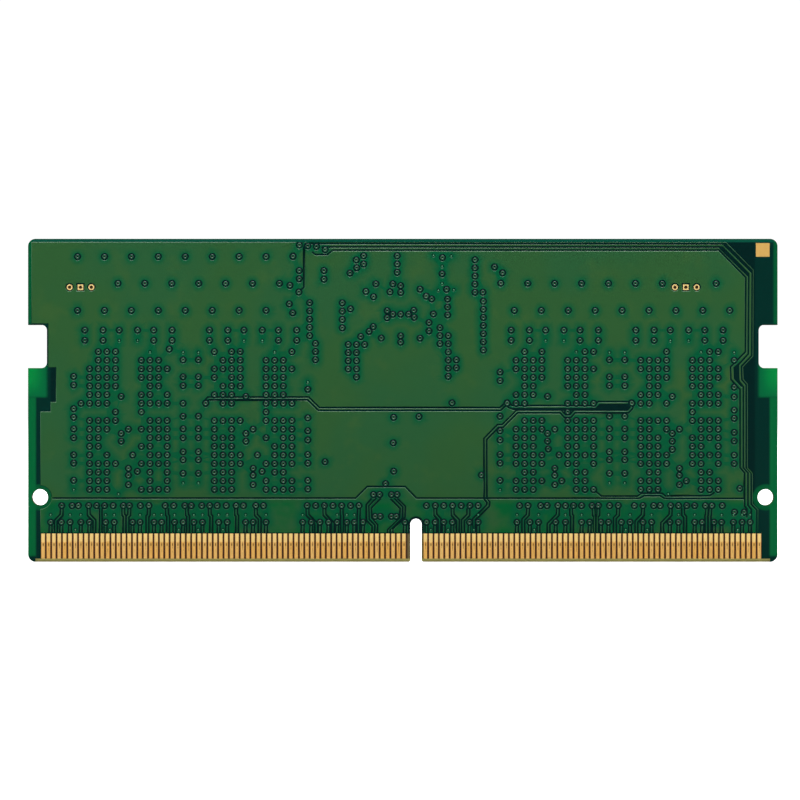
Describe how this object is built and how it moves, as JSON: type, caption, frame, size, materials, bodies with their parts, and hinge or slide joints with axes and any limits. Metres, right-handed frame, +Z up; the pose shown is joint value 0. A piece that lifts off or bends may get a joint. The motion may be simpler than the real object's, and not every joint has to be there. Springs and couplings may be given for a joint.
{
  "type": "memory module",
  "caption": "Small-outline memory module: layered green board with gold edge contacts on both faces, key slot, end notches, memory packages and power parts on one face.",
  "frame": {"origin": "middle of the contact edge, on the board's middle plane", "axes": "+X along the contact edge, +Y out of the face that carries the packages, +Z up from the contact edge; -Y is the bare face"},
  "size_m": [0.0696, 0.0022, 0.03],
  "materials": {
    "laminate": "satin",
    "copper": "satin",
    "solder_mask": "gloss",
    "gold": "satin",
    "mould_compound": "matte",
    "silicon": "gloss",
    "package_substrate": "satin",
    "solder": "satin",
    "tinned_ends": "satin",
    "ferrite": "matte",
    "capacitor_ceramic": "satin",
    "alumina": "matte",
    "resistor_glaze": "gloss"
  },
  "bodies": {
    "root": {"laminate_core": "laminate", "prepreg_inner_back": "laminate", "prepreg_middle_back": "laminate", "prepreg_outer_back": "laminate", "prepreg_inner_front": "laminate", "prepreg_middle_front": "laminate", "prepreg_outer_front": "laminate", "power_plane_back": "copper", "signal_plane_back": "copper", "ground_plane_back": "copper", "back_copper": "copper", "power_plane_front": "copper", "signal_plane_front": "copper", "ground_plane_front": "copper", "front_copper": "copper", "solder_mask_back": "solder_mask", "solder_mask_front": "solder_mask", "back_tented_vias": "solder_mask", "back_small_vias": "solder_mask", "front_tented_vias": "solder_mask", "back_contacts": "gold", "front_contacts": "gold", "back_test_pads": "gold", "corner_pad": "gold", "memory_cap_1": "mould_compound", "memory_cap_2": "mould_compound", "memory_cap_3": "mould_compound", "memory_cap_4": "mould_compound", "memory_die_1": "silicon", "memory_die_2": "silicon", "memory_die_3": "silicon", "memory_die_4": "silicon", "memory_substrate_1": "package_substrate", "memory_substrate_2": "package_substrate", "memory_substrate_3": "package_substrate", "memory_substrate_4": "package_substrate", "memory_balls_1": "solder", "memory_balls_2": "solder", "memory_balls_3": "solder", "memory_balls_4": "solder", "power_chip_body": "mould_compound", "power_chip_die": "silicon", "power_chip_leads": "tinned_ends", "hub_chip_body": "mould_compound", "hub_chip_leads": "tinned_ends", "inductor_cores": "ferrite", "inductor_coils": "copper", "inductor_ends": "tinned_ends", "capacitor_bodies": "capacitor_ceramic", "capacitor_ends": "tinned_ends", "bulk_capacitor_bodies": "capacitor_ceramic", "bulk_capacitor_ends": "tinned_ends", "resistor_bodies": "alumina", "resistor_films": "resistor_glaze", "resistor_ends": "tinned_ends", "solder_fillets": "solder"}
  },
  "joints": []
}
